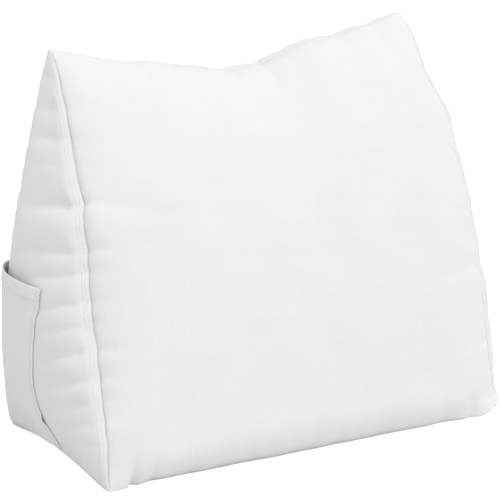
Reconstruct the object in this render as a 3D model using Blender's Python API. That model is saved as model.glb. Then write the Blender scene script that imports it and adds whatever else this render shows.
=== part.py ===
"""Headboard wedge cushion with a side pocket, for Blender 4.5. Metres, +Z up.

The cushion stands on its base panel. Its front panel faces -Y and leans back to a soft ridge, its back
panel faces +Y, and its two end panels face -X and +X. A patch pocket is sewn on the -X end panel.
The origin is under the middle of the whole cushion's box, on the surface that it stands on.
"""

import math

import bmesh
import bpy
import numpy as np

# Driving sizes of the sewn cover, in metres
BASE_WIDTH = 0.500
BASE_DEPTH = 0.248
HEIGHT = 0.446
RIDGE_SETBACK = 0.181
RIDGE_INSET = 0.025
RIDGE_END_THICKNESS = 0.003
RIDGE_THICKNESS = 0.016

# How far the filling pushes each panel out, and how full the push is near the seams
FRONT_CROWN = 0.045
BACK_CROWN = 0.031
FACE_FULLNESS = 0.51
END_CROWN = 0.0445
END_FULLNESS = 0.38
END_RISE = 0.62
END_FALL = 0.95

# The seams of each end panel bow away from straight lines between their corners
SEAM_BOWS = {
    "left": {"front": 0.0245, "rise": 1.15, "fall": 0.55},
    "right": {"front": 0.035, "rise": 1.35, "fall": 0.72},
}
BOW_REACH = 2.5

# The base lies flat in the middle, and its end seams are drawn up off the surface
END_LIFT = 0.012
END_LIFT_RISE = 1.4
END_LIFT_FALL = 1.3
END_LIFT_REACH = 0.055

# The lower front seam is drawn in between its two corners: share of the width, shift to the back
FRONT_HEM = (
    (0.00, -0.001),
    (0.04, 0.000),
    (0.09, 0.005),
    (0.20, 0.006),
    (0.50, 0.006),
    (0.80, 0.008),
    (0.89, 0.007),
    (0.95, -0.003),
    (1.00, -0.004),
)
FRONT_HEM_REACH = 0.090

# The right end wanders in and out near the top: share of the height, shift outward, half width
RIGHT_WAVES = (
    (0.860, -0.0050, 0.022),
    (0.755, 0.0050, 0.016),
)

# Sag of the ridge between its two ears: share of the width, drop
RIDGE_SAG = (
    (0.00, 0.0000),
    (0.06, 0.0060),
    (0.16, 0.0188),
    (0.28, 0.0264),
    (0.40, 0.0371),
    (0.50, 0.0437),
    (0.60, 0.0379),
    (0.70, 0.0239),
    (0.80, 0.0179),
    (0.90, 0.0096),
    (1.00, 0.0000),
)
SAG_DECAY = 3.0

# Puckers across an end seam: share of the height, depth, half width, reach on the end, reach on the face
SEAM_PUCKERS = (
    (0.190, 0.0016, 0.0055, 0.045, 0.030),
    (0.250, 0.0020, 0.0060, 0.050, 0.045),
    (0.330, 0.0024, 0.0060, 0.055, 0.040),
    (0.380, 0.0014, 0.0050, 0.040, 0.025),
    (0.430, 0.0018, 0.0055, 0.045, 0.030),
    (0.500, 0.0020, 0.0060, 0.045, 0.040),
    (0.550, 0.0015, 0.0050, 0.040, 0.040),
    (0.655, 0.0034, 0.0080, 0.060, 0.075),
    (0.800, 0.0022, 0.0090, 0.040, 0.035),
    (0.865, 0.0015, 0.0070, 0.030, 0.025),
    (0.935, 0.0012, 0.0060, 0.020, 0.015),
)
# The other three end seams carry the same puckers from the top down
TOP_DOWN_START = 0.97
TOP_DOWN_STRETCH = 0.90

# Puckers across the ridge: share of the width, depth, half width, reach down the faces
RIDGE_PUCKERS = (
    (0.220, 0.0015, 0.012, 0.030),
    (0.450, 0.0015, 0.012, 0.035),
    (0.565, 0.0030, 0.009, 0.045),
    (0.660, 0.0020, 0.011, 0.040),
    (0.800, 0.0020, 0.012, 0.050),
    (0.910, 0.0018, 0.010, 0.035),
)

# Tucks that rise from the base at the two lower front corners: share of the width, depth, half width, height
CORNER_TUCKS = (
    (0.060, 0.0040, 0.0060, 0.016),
    (0.950, 0.0040, 0.0070, 0.014),
)

# The turned seam round each end panel stands proud up to its top stitching
WELT_WIDTH = 0.0065
WELT_CREST_START = 0.0022
WELT_CREST_END = 0.0050
WELT_HEIGHT = 0.0012

# The patch pocket on the left end panel
# Front edge of the pocket: height above the base, depth from the front of the base
POCKET_FRONT_EDGE = (
    (0.016, 0.078),
    (0.030, 0.086),
    (0.040, 0.094),
    (0.050, 0.103),
    (0.062, 0.110),
    (0.080, 0.1145),
    (0.110, 0.1145),
    (0.145, 0.111),
    (0.180, 0.106),
    (0.208, 0.102),
)
POCKET_MOUTH_HEIGHT = 0.208
POCKET_SEAM_INSET = 0.0025
POCKET_FOOT_LIFT = 1.5
POCKET_THICKNESS = 0.0016
POCKET_HEM_DEPTH = 0.018
POCKET_HEM_THICKNESS = 0.0026
POCKET_SEAT_GAP = 0.0005
POCKET_EASE = 0.0020
POCKET_STITCH_INSET = 0.006
POCKET_GAPE = 0.0080
POCKET_GAPE_DEPTH = 2.0
POCKET_LIP_LIFT = 0.0022
POCKET_LIP_PLACE = 0.22
POCKET_LIP_LENGTH = 0.10

# Mesh stations
WIDTH_STEPS = 22
DEPTH_STEPS = 10
WELT_BAND = 0.1
PLAIN_ROWS = (0.035, 0.075, 0.120, 0.155, 0.600, 0.710, 0.760, 0.970, 0.990)
POCKET_COLUMNS = 14
POCKET_ROWS = 20
POCKET_CLOSER = 1.6
SURFACE_SEARCH_STEPS = 14
NORMAL_STEP = 1e-3

FABRIC_COLOUR = (0.86, 0.86, 0.845, 1.0)
FABRIC_ROUGHNESS = 0.92


def crown(t, fullness):
    """Height of a filled panel across its span: 0 at both seams and 1 in the middle."""
    return np.maximum(4.0 * t * (1.0 - t), 0.0) ** fullness


def hump(t, rise, fall):
    """A lopsided hump from 0 to 0 whose top, 1, lies at rise / (rise + fall)."""
    top = rise / (rise + fall)
    peak = top**rise * (1.0 - top) ** fall
    return np.maximum(t, 0.0) ** rise * np.maximum(1.0 - t, 0.0) ** fall / peak


def bell(distance, half_width):
    """A smooth bump of height 1 that dies away over its half width."""
    return np.exp(-((distance / half_width) ** 2))


def fade(distance, reach):
    """1 at a seam, falling smoothly to exactly 0 at its reach."""
    return np.maximum(1.0 - distance / reach, 0.0) ** 2


def smooth_curve(table, place):
    """The value at each place on a smooth curve through a table of places and values."""
    places, values = np.array(table).T
    slopes = np.gradient(values, places)
    low = np.clip(np.searchsorted(places, place, side="right") - 1, 0, len(places) - 2)
    span = places[low + 1] - places[low]
    t = (place - places[low]) / span
    return (
        (2 * t**3 - 3 * t**2 + 1) * values[low]
        + (t**3 - 2 * t**2 + t) * span * slopes[low]
        + (3 * t**2 - 2 * t**3) * values[low + 1]
        + (t**3 - t**2) * span * slopes[low + 1]
    )


def end_depth(w):
    """Depth of the flat end panel at a share w of the height."""
    return BASE_DEPTH * (1.0 - w) + RIDGE_END_THICKNESS * w


def flat_wedge(u, v, w):
    """The sewn wedge before filling: u runs left to right, v front to back, w base to ridge."""
    half_width = BASE_WIDTH / 2 - RIDGE_INSET * w
    thickness = RIDGE_END_THICKNESS + (RIDGE_THICKNESS - RIDGE_END_THICKNESS) * crown(u, 0.6)
    front = (RIDGE_SETBACK - thickness / 2) * w
    back = BASE_DEPTH + (RIDGE_SETBACK + thickness / 2 - BASE_DEPTH) * w
    return np.stack([(2 * u - 1) * half_width, front + v * (back - front), HEIGHT * w])


def filling(u, v, w):
    """How far the filling moves each point of the panels."""
    front_lean = math.atan2(RIDGE_SETBACK, HEIGHT)
    back_lean = math.atan2(BASE_DEPTH - RIDGE_SETBACK, HEIGHT)
    face = crown(u, FACE_FULLNESS) * crown(w, FACE_FULLNESS)
    front = FRONT_CROWN * face * (1 - v)
    back = BACK_CROWN * face * v
    end = END_CROWN * crown(v, END_FULLNESS) * hump(w, END_RISE, END_FALL)
    return np.stack(
        [
            end * (2 * u - 1),
            back * math.cos(back_lean) - front * math.cos(front_lean),
            back * math.sin(back_lean) + front * math.sin(front_lean),
        ]
    )


def end_forms(side, u, v, w):
    """Bowed seams and the drawn-up base seam near one end."""
    near = 1 - u if side == "left" else u
    from_end = (1 - near) * BASE_WIDTH
    bows = SEAM_BOWS[side]
    bow = hump(w, bows["rise"], bows["fall"]) * near**BOW_REACH
    y = -bow * bows["front"] * (1 - v) ** BOW_REACH
    z = END_LIFT * hump(v, END_LIFT_RISE, END_LIFT_FALL) * fade(from_end, END_LIFT_REACH) * (1 - w) ** 4
    return np.stack([np.zeros_like(y), y, z])


def seam_puckers(side, u, v, w):
    """Shallow troughs that run across the two slanting seams of one end."""
    inward = 1 if side == "left" else -1
    from_end = (u if side == "left" else 1 - u) * BASE_WIDTH
    moved = np.zeros((3, len(u)))
    for backward, from_seam in ((1, v * end_depth(w)), (-1, (1 - v) * end_depth(w))):
        as_listed = side == "left" and backward == 1
        for share, depth, half_width, end_reach, face_reach in SEAM_PUCKERS:
            place = share if as_listed else TOP_DOWN_START - TOP_DOWN_STRETCH * share
            trough = depth * bell((w - place) * HEIGHT, half_width)
            trough = trough * bell(from_end, face_reach) * bell(from_seam, end_reach)
            moved[0] += inward * math.sqrt(0.5) * trough
            moved[1] += backward * math.sqrt(0.5) * trough
    return moved


def ridge_forms(u, w):
    """The sag of the ridge and the puckers across it."""
    moved = np.zeros((3, len(u)))
    moved[2] -= smooth_curve(RIDGE_SAG, u) * w**SAG_DECAY
    for share, depth, half_width, reach in RIDGE_PUCKERS:
        across = bell((u - share) * BASE_WIDTH, half_width)
        moved[2] -= depth * across * bell((1 - w) * HEIGHT, reach)
    return moved


def hem_forms(u, v, w):
    """The drawn-in lower front seam and the tucks at its two corners."""
    near_front = fade(v * BASE_DEPTH, FRONT_HEM_REACH)
    moved = np.zeros((3, len(u)))
    moved[1] += smooth_curve(FRONT_HEM, u) * near_front * fade(w * HEIGHT, FRONT_HEM_REACH)
    for share, depth, half_width, height in CORNER_TUCKS:
        across = bell((u - share) * BASE_WIDTH, half_width)
        moved[1] += depth * across * bell(w * HEIGHT, height) * near_front
    return moved


def right_waves(u, w):
    """The gentle waves in the upper part of the right end."""
    moved = np.zeros((3, len(u)))
    for share, shift, half_width in RIGHT_WAVES:
        moved[0] += shift * bell((w - share) * HEIGHT, half_width) * u**4
    return moved


def welt(u, v, w):
    """The raised turned seam round the rim of each end panel."""
    from_front = v * end_depth(w)
    from_back = (1 - v) * end_depth(w)
    inside = np.minimum(np.minimum(from_front, from_back), w * HEIGHT)
    rise = np.interp(
        inside, [0.0, WELT_CREST_START, WELT_CREST_END, WELT_WIDTH], [0.0, 1.0, 1.0, 0.0]
    )
    outward = np.where(u == 0, -1.0, np.where(u == 1, 1.0, 0.0))
    return np.stack([outward * WELT_HEIGHT * rise, np.zeros_like(rise), np.zeros_like(rise)])


def smooth_surface(u, v, w):
    """Points of the filled cushion without its welts, before the origin is set."""
    points = flat_wedge(u, v, w) + filling(u, v, w) + ridge_forms(u, w)
    points += hem_forms(u, v, w) + right_waves(u, w)
    for side in SEAM_BOWS:
        points += end_forms(side, u, v, w) + seam_puckers(side, u, v, w)
    return points


def welt_band_share(b, w):
    """v for a lattice place b: the first and last tenth of the lattice span the welts at any height."""
    band = np.minimum(WELT_WIDTH / end_depth(w), 0.3)
    from_edge = np.minimum(b, 1 - b)
    inner = band + (0.5 - band) * (from_edge - WELT_BAND) / (0.5 - WELT_BAND)
    share = np.where(from_edge < WELT_BAND, band * from_edge / WELT_BAND, inner)
    return np.where(b <= 0.5, share, 1 - share)


def width_stations():
    """Places across the width: closer near the ends, with one at each ridge pucker and corner tuck."""
    kept = [row[0] for row in RIDGE_PUCKERS + CORNER_TUCKS]
    steps = np.linspace(0, 1, WIDTH_STEPS + 1)
    even = 0.35 * steps + 0.65 * (0.5 - 0.5 * np.cos(np.pi * steps))
    room = 0.4 / WIDTH_STEPS
    return sorted(kept + [s for s in even if min(abs(s - k) for k in kept) > room])


def depth_stations():
    """Places through the depth: the edges of both welts, and even steps between them."""
    crest = [WELT_BAND * size / WELT_WIDTH for size in (WELT_CREST_START, WELT_CREST_END)]
    rim = [0.0, *crest]
    middle = list(np.linspace(WELT_BAND, 1 - WELT_BAND, DEPTH_STEPS + 1))
    return rim + middle + [1 - place for place in reversed(rim)]


def height_stations():
    """Places up the height: the lower welt, each pucker of the visible seam and the crest above it."""
    lower = [size / HEIGHT for size in (0.0, WELT_CREST_START, WELT_CREST_END, WELT_WIDTH)]
    troughs = [row[0] for row in SEAM_PUCKERS]
    crests = [(low + high) / 2 for low, high in zip(troughs, troughs[1:])]
    return sorted([*lower, *PLAIN_ROWS, *troughs, *crests, 1.0])


def cut_block():
    """A unit block whose faces are cut into a lattice at the three lists of stations."""
    block = bmesh.new()
    bmesh.ops.create_cube(block, size=1.0)
    bmesh.ops.translate(block, verts=block.verts, vec=(0.5, 0.5, 0.5))
    for axis, places in enumerate((width_stations(), depth_stations(), height_stations())):
        normal = [float(axis == k) for k in range(3)]
        for place in places[1:-1]:
            bmesh.ops.bisect_plane(
                block,
                geom=block.verts[:] + block.edges[:] + block.faces[:],
                plane_co=[place * n for n in normal],
                plane_no=normal,
            )
    return block


def build_cushion(fabric):
    """The filled cushion as one closed solid."""
    block = cut_block()
    u, b, w = np.array([vert.co for vert in block.verts], float).T
    v = welt_band_share(b, w)
    points = smooth_surface(u, v, w) + welt(u, v, w)
    for vert, point in zip(block.verts, points.T):
        vert.co = point
    bmesh.ops.recalc_face_normals(block, faces=block.faces)
    return finish_object("cushion", block, fabric)


def end_surface(y, z):
    """Points of the left end panel at given depths and heights, and the outward normals there."""
    w = z / HEIGHT
    v = y / BASE_DEPTH
    end = np.zeros_like(w)
    for _ in range(SURFACE_SEARCH_STEPS):
        found = smooth_surface(end, v, w)
        v = np.clip(v + (y - found[1]) / end_depth(w), 0.002, 0.998)
        w = np.clip(w + (z - found[2]) / HEIGHT, 0.002, 0.998)
    found = smooth_surface(end, v, w) + welt(end, v, w)
    back = smooth_surface(end, v + NORMAL_STEP, w) - smooth_surface(end, v - NORMAL_STEP, w)
    up = smooth_surface(end, v, w + NORMAL_STEP) - smooth_surface(end, v, w - NORMAL_STEP)
    outward = np.cross(up.T, back.T).T
    return found, outward / np.linalg.norm(outward, axis=0)


def pocket_place(s, t):
    """Depth and height on the end panel for a place on the pocket: s front to back, t foot to mouth."""
    foot = END_LIFT * POCKET_FOOT_LIFT + POCKET_SEAM_INSET
    z = foot + t * (POCKET_MOUTH_HEIGHT - foot)
    w = z / HEIGHT
    front = smooth_curve(POCKET_FRONT_EDGE, z)
    back = BASE_DEPTH + (RIDGE_SETBACK - BASE_DEPTH) * w - POCKET_SEAM_INSET
    return front + s * (back - front), z


def pocket_gap(s, t):
    """Clearance between the pocket and the end panel: sewn at the front, eased, and open at the mouth."""
    from_front = s * (BASE_DEPTH - POCKET_FRONT_EDGE[0][1])
    sewn = bell(from_front - POCKET_STITCH_INSET, POCKET_STITCH_INSET)
    lip = POCKET_LIP_LIFT * bell(t - POCKET_LIP_PLACE, POCKET_LIP_LENGTH) * fade(from_front, POCKET_STITCH_INSET)
    gape = POCKET_GAPE * np.sin(np.pi * s) ** 1.2 * t**POCKET_GAPE_DEPTH
    return POCKET_EASE + (POCKET_SEAT_GAP - POCKET_EASE) * sewn + lip + gape


def build_pocket(fabric):
    """The patch pocket: one sheet with a turned hem at its mouth."""
    sheet = bmesh.new()
    bmesh.ops.create_cube(sheet, size=1.0)
    bmesh.ops.translate(sheet, verts=sheet.verts, vec=(0.5, 0.5, 0.5))
    hem_row = 1 - POCKET_HEM_DEPTH / POCKET_MOUTH_HEIGHT
    columns = list(1 - (1 - np.linspace(0, 1, POCKET_COLUMNS + 1)) ** POCKET_CLOSER)
    rows = [*hem_row * np.linspace(0, 1, POCKET_ROWS) ** POCKET_CLOSER, hem_row + 0.006, 1.0]
    for axis, places in ((1, columns), (2, rows)):
        normal = [float(axis == k) for k in range(3)]
        for place in places[1:-1]:
            bmesh.ops.bisect_plane(
                sheet,
                geom=sheet.verts[:] + sheet.edges[:] + sheet.faces[:],
                plane_co=[place * n for n in normal],
                plane_no=normal,
            )
    outer, s, t = np.array([vert.co for vert in sheet.verts], float).T
    y, z = pocket_place(s, t)
    found, outward = end_surface(y, z)
    hem = np.clip((t - hem_row) / 0.006, 0, 1)
    thickness = POCKET_THICKNESS + (POCKET_HEM_THICKNESS - POCKET_THICKNESS) * hem
    off = pocket_gap(s, t) + thickness * outer
    points = found + outward * off
    for vert, point in zip(sheet.verts, points.T):
        vert.co = point
    bmesh.ops.recalc_face_normals(sheet, faces=sheet.faces)
    return finish_object("pocket", sheet, fabric)


def woven_cotton():
    """The off-white woven cover cloth."""
    fabric = bpy.data.materials.new("woven_cotton")
    fabric.use_nodes = True
    shader = fabric.node_tree.nodes["Principled BSDF"]
    shader.inputs["Base Color"].default_value = FABRIC_COLOUR
    shader.inputs["Roughness"].default_value = FABRIC_ROUGHNESS
    shader.inputs["Metallic"].default_value = 0.0
    return fabric


def finish_object(name, mesh, fabric):
    """A linked, smooth-shaded object made from a bmesh."""
    data = bpy.data.meshes.new(name)
    mesh.to_mesh(data)
    mesh.free()
    data.materials.append(fabric)
    data.shade_smooth()
    data.set_sharp_from_angle(angle=math.radians(50))
    made = bpy.data.objects.new(name, data)
    bpy.context.scene.collection.objects.link(made)
    return made


def set_origin(objects):
    """Moves the meshes so that the origin lies under the middle of their common box."""
    corners = np.array([vert.co for made in objects for vert in made.data.vertices])
    low, high = corners.min(axis=0), corners.max(axis=0)
    shift = (-(low[0] + high[0]) / 2, -(low[1] + high[1]) / 2, -low[2])
    for made in objects:
        for vert in made.data.vertices:
            vert.co = [a + b for a, b in zip(vert.co, shift)]


def main():
    for old in list(bpy.data.objects):
        bpy.data.objects.remove(old, do_unlink=True)
    fabric = woven_cotton()
    set_origin([build_cushion(fabric), build_pocket(fabric)])


main()
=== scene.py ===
"""Headboard wedge cushion with a side pocket: cover, seams, top stitching, patch pocket and a plain studio.

Everything is in metres. The front panel faces -Y and leans back, the pocket is on the -X end, and the
cushion stands on Z = 0. Shares u, v and w run left to right, front to back, and base to ridge.
"""

import logging
import math
from dataclasses import dataclass, field
from enum import Enum

import bmesh
import bpy
import numpy as np
from mathutils import Matrix, Vector

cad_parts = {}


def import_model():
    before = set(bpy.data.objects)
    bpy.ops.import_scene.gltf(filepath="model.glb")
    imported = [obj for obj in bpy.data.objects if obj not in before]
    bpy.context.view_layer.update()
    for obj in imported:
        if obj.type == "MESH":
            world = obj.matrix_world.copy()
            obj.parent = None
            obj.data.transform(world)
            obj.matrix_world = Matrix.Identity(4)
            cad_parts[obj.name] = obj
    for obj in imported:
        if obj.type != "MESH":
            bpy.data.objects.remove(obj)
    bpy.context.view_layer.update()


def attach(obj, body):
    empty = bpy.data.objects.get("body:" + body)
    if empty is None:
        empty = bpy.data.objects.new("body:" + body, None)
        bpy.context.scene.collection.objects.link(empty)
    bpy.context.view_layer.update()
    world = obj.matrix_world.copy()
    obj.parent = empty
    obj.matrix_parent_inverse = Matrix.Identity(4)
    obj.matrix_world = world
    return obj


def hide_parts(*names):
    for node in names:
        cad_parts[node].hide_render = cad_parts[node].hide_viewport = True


log = logging.getLogger("wedge_cushion")

CREASE_ROUNDING = 0.15
WAVE_SPREAD = (0.6, 1.6)
SHARE_STEP = 1e-3
TINY = 1e-12
WELD_DISTANCE = 1e-6


class Panel(Enum):
    """The six faces of the lattice that a cover or a sheet is cut from."""

    LEFT = "left"
    RIGHT = "right"
    FRONT = "front"
    BACK = "back"
    BASE = "base"
    RIDGE = "ridge"


def crown(t: np.ndarray, fullness: float) -> np.ndarray:
    """Height of a filled panel across its span: 0 at both seams and 1 in the middle."""
    return np.maximum(4.0 * t * (1.0 - t), 0.0) ** fullness


def hump(t: np.ndarray, rise: float, fall: float) -> np.ndarray:
    """A lopsided hump from 0 to 0 whose top, 1, lies at rise / (rise + fall).

    Args:
        t: shares of the span.
        rise: power of the rising side.
        fall: power of the falling side.

    Returns:
        The hump's heights.
    """
    top = rise / (rise + fall)
    peak = top**rise * (1.0 - top) ** fall
    return np.maximum(t, 0.0) ** rise * np.maximum(1.0 - t, 0.0) ** fall / peak


def bell(distance: np.ndarray, half_width: float) -> np.ndarray:
    """A smooth bump of height 1 that dies away over its half width."""
    return np.exp(-((distance / half_width) ** 2))


def fade(distance: np.ndarray, reach: float) -> np.ndarray:
    """1 at a seam, falling smoothly to exactly 0 at its reach."""
    return np.maximum(1.0 - distance / reach, 0.0) ** 2


def ease(distance: np.ndarray, least: float, reach: float) -> np.ndarray:
    """Rises from its least value at a seam to 1 away from it."""
    return least + (1.0 - least) * (1.0 - bell(distance, reach))


def valley(distance: np.ndarray, above: float, below: float) -> np.ndarray:
    """A crease of depth 1 between two full folds, nearly sharp at its bottom and wider above it."""
    away = np.abs(distance) / np.where(distance > 0, above, below)
    return np.exp(CREASE_ROUNDING - np.sqrt(away**2 + CREASE_ROUNDING**2))


def smooth_curve(table: tuple[tuple[float, float], ...], place: np.ndarray) -> np.ndarray:
    """The value at each place on a smooth curve through a table of places and values.

    Args:
        table: rows of a place and its value, in rising order of place.
        place: where the curve is read.

    Returns:
        The curve's values.
    """
    places, values = np.array(table).T
    slopes = np.gradient(values, places)
    low = np.clip(np.searchsorted(places, place, side="right") - 1, 0, len(places) - 2)
    span = places[low + 1] - places[low]
    t = (place - places[low]) / span
    return (
        (2 * t**3 - 3 * t**2 + 1) * values[low]
        + (t**3 - 2 * t**2 + t) * span * slopes[low]
        + (3 * t**2 - 2 * t**3) * values[low + 1]
        + (t**3 - t**2) * span * slopes[low + 1]
    )


def rolling(points: np.ndarray, seed: int, length: float, count: int) -> np.ndarray:
    """Gentle irregular waves, made of plane waves that cross at set angles.

    Args:
        points: one row of coordinates for each axis, in metres.
        seed: picks the set of waves.
        length: the middle wave length.
        count: how many waves are added.

    Returns:
        A height of about -1 to 1 for each point.
    """
    picks = np.random.default_rng(seed)
    total = np.zeros(points.shape[1])
    for _ in range(count):
        way = picks.normal(size=points.shape[0])
        way = way / np.linalg.norm(way)
        wave = length * picks.uniform(*WAVE_SPREAD)
        total += np.sin(2 * math.pi * (way @ points) / wave + picks.uniform(0, 2 * math.pi))
    return total / math.sqrt(count * 2.0)


@dataclass(frozen=True)
class Pucker:
    """One crease across an end seam, where the stitching has drawn the cloth in.

    It crosses the seam at a share of the height. Its half widths above and below its bottom, and its
    reaches over the end panel and the face, are in metres. Droop is how much it falls for its length.
    """

    share: float
    depth: float
    above: float
    below: float
    end_reach: float
    face_reach: float
    droop: float = 0.30


@dataclass(frozen=True)
class SoftFold:
    """One soft fold that crosses the ridge or rises from the lower front seam, at a share of the width."""

    share: float
    depth: float
    width: float
    reach: float


@dataclass(frozen=True)
class SeamBow:
    """How far a front end seam bows forward, and the powers that shape the bow."""

    forward: float
    rise: float
    fall: float


LEFT_FRONT_PUCKERS = (
    Pucker(0.112, 0.0020, 0.008, 0.005, 0.030, 0.018),
    Pucker(0.165, 0.0024, 0.010, 0.007, 0.040, 0.020, 0.45),
    Pucker(0.208, 0.0028, 0.009, 0.007, 0.045, 0.018, 0.45),
    Pucker(0.262, 0.0042, 0.012, 0.007, 0.050, 0.030, 0.45),
    Pucker(0.326, 0.0050, 0.013, 0.008, 0.055, 0.026, 0.45),
    Pucker(0.383, 0.0026, 0.008, 0.006, 0.045, 0.016, 0.40),
    Pucker(0.433, 0.0040, 0.011, 0.006, 0.045, 0.022, 0.35),
    Pucker(0.501, 0.0044, 0.009, 0.007, 0.038, 0.026, 0.30),
    Pucker(0.553, 0.0046, 0.013, 0.008, 0.038, 0.034, 0.25),
    Pucker(0.656, 0.0085, 0.019, 0.006, 0.034, 0.060, 0.25),
    Pucker(0.746, 0.0016, 0.011, 0.009, 0.026, 0.020, 0.20),
    Pucker(0.803, 0.0040, 0.015, 0.010, 0.024, 0.034, 0.20),
    Pucker(0.868, 0.0028, 0.012, 0.008, 0.018, 0.022, 0.15),
    Pucker(0.937, 0.0020, 0.008, 0.006, 0.012, 0.014, 0.10),
)


@dataclass
class WedgeForm:
    """The smooth shape of the filled wedge, with its puckers but without welts and seams."""

    base_width: float = 0.500
    base_depth: float = 0.248
    height: float = 0.446
    ridge_setback: float = 0.181
    ridge_inset: float = 0.025
    ridge_end_thickness: float = 0.003
    ridge_thickness: float = 0.016
    ridge_fullness: float = 0.6
    front_crown: float = 0.045
    back_crown: float = 0.031
    face_fullness: float = 0.51
    end_crown: float = 0.0445
    end_fullness: float = 0.38
    end_rise: float = 0.62
    end_fall: float = 0.95
    bow_reach: float = 2.5
    end_lift: float = 0.012
    end_lift_reach: float = 0.055
    end_lift_rise: float = 1.4
    end_lift_fall: float = 1.3
    end_lift_power: int = 4
    drift_power: int = 12
    hem_reach: float = 0.090
    hem_roll: float = 0.022
    hem_roll_power: float = 1.6
    hem_bulge: float = 0.46
    hem_bulge_height: float = 0.026
    hem_bulge_width: float = 0.020
    face_droop: float = 0.20
    end_gain: float = 1.75
    face_gain: float = 0.55
    end_band: float = 0.012
    face_band: float = 0.006
    face_ease: tuple[float, float] = (0.4, 0.010)
    seam_ease: tuple[float, float] = (0.32, 0.005)
    face_widening: tuple[float, float] = (1.3, 1.2)
    other_seam_depth: float = 0.55
    other_seam_top: float = 0.97
    other_seam_stretch: float = 0.90
    back_seam_reach: float = 0.5
    sag_decay: float = 3.0
    origin_shift: tuple[float, float, float] = (0.00446, -0.12663, 0.0)
    left_bow: SeamBow = SeamBow(0.0245, 1.15, 0.55)
    right_bow: SeamBow = SeamBow(0.035, 1.35, 0.72)
    right_wave_power: int = 4
    right_seam_band: float = 0.012
    right_seam_reach: float = 0.030
    corner_reach: float = 0.030
    corner_depth: float = 0.060
    corner_bulge: float = 0.0050
    corner_bulge_height: float = 0.014
    corner_bulge_width: float = 0.013
    corner_draw: float = 0.0035
    corner_draw_reach: float = 0.012
    corner_lift: float = 0.0105
    corner_lift_reach: float = 0.036
    ridge_sag: tuple[tuple[float, float], ...] = (
        (0.00, 0.0000),
        (0.06, 0.0060),
        (0.16, 0.0188),
        (0.28, 0.0264),
        (0.40, 0.0371),
        (0.50, 0.0437),
        (0.60, 0.0379),
        (0.70, 0.0239),
        (0.80, 0.0179),
        (0.90, 0.0096),
        (1.00, 0.0000),
    )
    front_hem: tuple[tuple[float, float], ...] = (
        (0.00, -0.001),
        (0.04, 0.000),
        (0.09, 0.006),
        (0.20, 0.007),
        (0.50, 0.006),
        (0.80, 0.006),
        (0.89, 0.005),
        (0.95, -0.002),
        (1.00, -0.003),
    )
    left_drift: tuple[tuple[float, float], ...] = (
        (0.00, 0.0000),
        (0.05, 0.0020),
        (0.11, 0.0050),
        (0.20, 0.0015),
        (0.33, -0.0015),
        (0.42, -0.0035),
        (0.50, -0.0010),
        (0.60, 0.0035),
        (0.66, 0.0040),
        (0.72, 0.0010),
        (1.00, 0.0000),
    )
    right_seam: tuple[tuple[float, float], ...] = (
        (0.00, 0.0000),
        (0.10, 0.0030),
        (0.30, 0.0080),
        (0.50, 0.0095),
        (0.70, 0.0095),
        (0.85, 0.0055),
        (0.95, 0.0010),
        (1.00, 0.0000),
    )
    right_waves: tuple[tuple[float, float, float], ...] = (
        (0.860, -0.0050, 0.022),
        (0.755, 0.0050, 0.016),
    )
    ridge_puckers: tuple[SoftFold, ...] = (
        SoftFold(0.220, 0.0012, 0.012, 0.030),
        SoftFold(0.330, 0.0010, 0.010, 0.040),
        SoftFold(0.470, 0.0018, 0.012, 0.050),
        SoftFold(0.578, 0.0040, 0.008, 0.040),
        SoftFold(0.655, 0.0010, 0.012, 0.060),
        SoftFold(0.800, 0.0018, 0.014, 0.060),
        SoftFold(0.905, 0.0018, 0.010, 0.045),
    )
    hem_folds: tuple[SoftFold, ...] = (
        SoftFold(0.105, 0.0022, 0.007, 0.034),
        SoftFold(0.190, 0.0010, 0.012, 0.040),
        SoftFold(0.330, 0.0008, 0.016, 0.050),
        SoftFold(0.500, 0.0012, 0.009, 0.060),
        SoftFold(0.565, 0.0014, 0.011, 0.070),
        SoftFold(0.700, 0.0009, 0.014, 0.050),
        SoftFold(0.860, 0.0012, 0.012, 0.045),
    )
    corner_tucks: tuple[SoftFold, ...] = (
        SoftFold(0.058, 0.0080, 0.0045, 0.017),
        SoftFold(0.938, 0.0060, 0.0090, 0.020),
    )

    def end_depth(self, w: np.ndarray) -> np.ndarray:
        """Depth of the flat end panel at a share w of the height."""
        return self.base_depth * (1.0 - w) + self.ridge_end_thickness * w

    def flat(self, u: np.ndarray, v: np.ndarray, w: np.ndarray) -> np.ndarray:
        """The sewn wedge before filling.

        Args:
            u: shares of the width.
            v: shares of the depth.
            w: shares of the height.

        Returns:
            The points, one row for each axis.
        """
        half_width = self.base_width / 2 - self.ridge_inset * w
        spread = self.ridge_thickness - self.ridge_end_thickness
        thickness = self.ridge_end_thickness + spread * crown(u, self.ridge_fullness)
        front = (self.ridge_setback - thickness / 2) * w
        back = self.base_depth + (self.ridge_setback + thickness / 2 - self.base_depth) * w
        return np.stack([(2 * u - 1) * half_width, front + v * (back - front), self.height * w])

    def filling(self, u: np.ndarray, v: np.ndarray, w: np.ndarray) -> np.ndarray:
        """How far the filling moves each point of the panels.

        Args:
            u: shares of the width.
            v: shares of the depth.
            w: shares of the height.

        Returns:
            The moves, one row for each axis.
        """
        front_lean = math.atan2(self.ridge_setback, self.height)
        back_lean = math.atan2(self.base_depth - self.ridge_setback, self.height)
        face = crown(u, self.face_fullness) * crown(w, self.face_fullness)
        front = self.front_crown * face * (1 - v)
        back = self.back_crown * face * v
        end = self.end_crown * crown(v, self.end_fullness) * hump(w, self.end_rise, self.end_fall)
        return np.stack(
            [
                end * (2 * u - 1),
                back * math.cos(back_lean) - front * math.cos(front_lean),
                back * math.sin(back_lean) + front * math.sin(front_lean),
            ]
        )

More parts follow.
